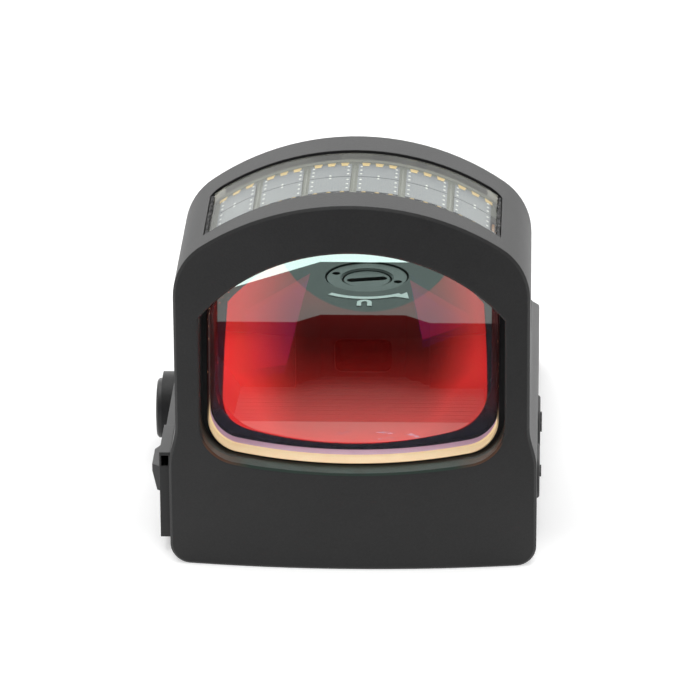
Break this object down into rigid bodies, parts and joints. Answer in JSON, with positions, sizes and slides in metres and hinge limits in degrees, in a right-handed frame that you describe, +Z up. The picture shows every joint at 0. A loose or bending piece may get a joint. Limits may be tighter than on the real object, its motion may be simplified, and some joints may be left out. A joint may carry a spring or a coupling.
{
  "type": "reflex red dot sight",
  "caption": "Compact open reflex red dot sight: arched hood, tilted coated lens, solar panel, side battery tray, click adjusters and brightness buttons.",
  "frame": {"origin": "on the base plane, midway between the two mounting screw holes", "axes": "+Z up, -Y towards the target (objective side), +X to the right of someone facing the objective"},
  "size_m": [0.0308, 0.0452, 0.0295],
  "materials": {
    "anodised_housing": "black hard anodised, fine bead-blasted",
    "anodised_cover": "black anodised, smooth",
    "anodised_tray": "black anodised, bead-blasted",
    "anodised_ring": "black anodised, turned",
    "anodised_screw": "black anodised, turned",
    "lens_glass": "polished, front element",
    "lens_glass_rear": "polished, red reflecting coating on the cemented face",
    "lens_seal": "cured black sealant",
    "solar_backing": "grey laminate",
    "solar_silicon": "dark silicon",
    "gold_pads": "gold plated",
    "solar_resin": "clear cast resin",
    "solar_seal": "dark sealant",
    "flex_circuit": "amber polyimide",
    "o_ring_rubber": "smooth",
    "spring_steel": "spring steel",
    "white_mark": "white filled engraving",
    "emitter_glass": "polished",
    "circuit_board": "green solder mask",
    "chip_epoxy": "moulded epoxy",
    "connector_plastic": "ivory nylon",
    "switch_metal": "stamped",
    "contact_gold": "gold plated spring bronze",
    "black_steel": "black oxide",
    "brass_carriage": "milled brass",
    "holder_metal": "milled",
    "led_resin": "clear red resin",
    "cell_steel": "nickel-plated steel",
    "button_rubber": "fine matt silicone"
  },
  "bodies": {
    "housing": {"housing": "anodised_housing", "lens_front_element": "lens_glass", "lens_rear_element": "lens_glass_rear", "lens_sealant": "lens_seal", "solar_substrate": "solar_backing", "solar_cells": "solar_silicon", "solar_pads": "gold_pads", "solar_cover": "solar_resin", "solar_sealant": "solar_seal", "solar_flex": "flex_circuit", "elevation_retaining_ring": "anodised_ring", "elevation_o_ring": "o_ring_rubber", "elevation_click_spring": "spring_steel", "elevation_spring": "spring_steel", "elevation_mark": "white_mark", "windage_retaining_ring": "anodised_ring", "windage_o_ring": "o_ring_rubber", "windage_click_spring": "spring_steel", "emitter_window": "emitter_glass", "emitter_flex": "flex_circuit", "main_board": "circuit_board", "control_chip": "chip_epoxy", "motion_sensor": "chip_epoxy", "flex_connector": "connector_plastic", "switch_board": "circuit_board", "brighter_switch": "switch_metal", "dimmer_switch": "switch_metal", "positive_contact": "contact_gold", "negative_contact": "contact_gold", "bottom_cover": "anodised_cover", "cover_gasket": "o_ring_rubber", "cover_screws": "black_steel"},
    "elevation_screw": {"elevation_screw": "anodised_screw"},
    "elevation_carriage": {"elevation_carriage": "brass_carriage"},
    "emitter_holder": {"emitter_holder": "holder_metal", "emitter_board": "circuit_board", "led_emitter": "led_resin"},
    "windage_screw": {"windage_screw": "anodised_screw"},
    "windage_nut": {"windage_nut": "brass_carriage"},
    "battery_tray": {"battery_tray": "anodised_tray", "tray_seal": "o_ring_rubber", "coin_cell": "cell_steel"},
    "tray_screw": {"tray_screw": "black_steel"},
    "brighter_button": {"brighter_button": "button_rubber"},
    "dimmer_button": {"dimmer_button": "button_rubber"}
  },
  "joints": [
    {"name": "elevation_turn", "type": "hinge", "parent": "housing", "child": "elevation_screw", "pos_m": [0, -0.0025, 0.0105], "axis": [0, 0, 1], "range_deg": [-250, 250]},
    {"name": "elevation_travel", "type": "slide", "parent": "housing", "child": "elevation_carriage", "axis": [0, 0, 1], "range_m": [-0.000243, 0.000243], "deforming": ["elevation_spring"]},
    {"name": "windage_turn", "type": "hinge", "parent": "housing", "child": "windage_screw", "pos_m": [-0.015, -0.012, 0.0036], "axis": [-1, 0, 0], "range_deg": [-250, 250]},
    {"name": "windage_travel", "type": "slide", "parent": "elevation_carriage", "child": "emitter_holder", "axis": [1, 0, 0], "range_m": [-0.000243, 0.000243]},
    {"name": "windage_nut_travel", "type": "slide", "parent": "housing", "child": "windage_nut", "axis": [1, 0, 0], "range_m": [-0.000243, 0.000243]},
    {"name": "tray_slide", "type": "slide", "parent": "housing", "child": "battery_tray", "axis": [-1, 0, 0], "range_m": [0, 0.0225]},
    {"name": "tray_screw_turn", "type": "hinge", "parent": "battery_tray", "child": "tray_screw", "pos_m": [-0.0149, -0.019, 0.0062], "axis": [-1, 0, 0], "range_deg": [0, 1080]},
    {"name": "brighter_press", "type": "slide", "parent": "housing", "child": "brighter_button", "axis": [-1, 0, 0], "range_m": [0, 0.0004], "stiffness_N_per_m": 1500},
    {"name": "dimmer_press", "type": "slide", "parent": "housing", "child": "dimmer_button", "axis": [-1, 0, 0], "range_m": [0, 0.0004], "stiffness_N_per_m": 1500}
  ],
  "couplings": [
    {"joint": "elevation_turn", "follows": "elevation_travel", "rad_per_m": -17952},
    {"joint": "windage_turn", "follows": "windage_travel", "rad_per_m": 17952},
    {"joint": "windage_nut_travel", "follows": "windage_travel", "ratio": 1}
  ]
}
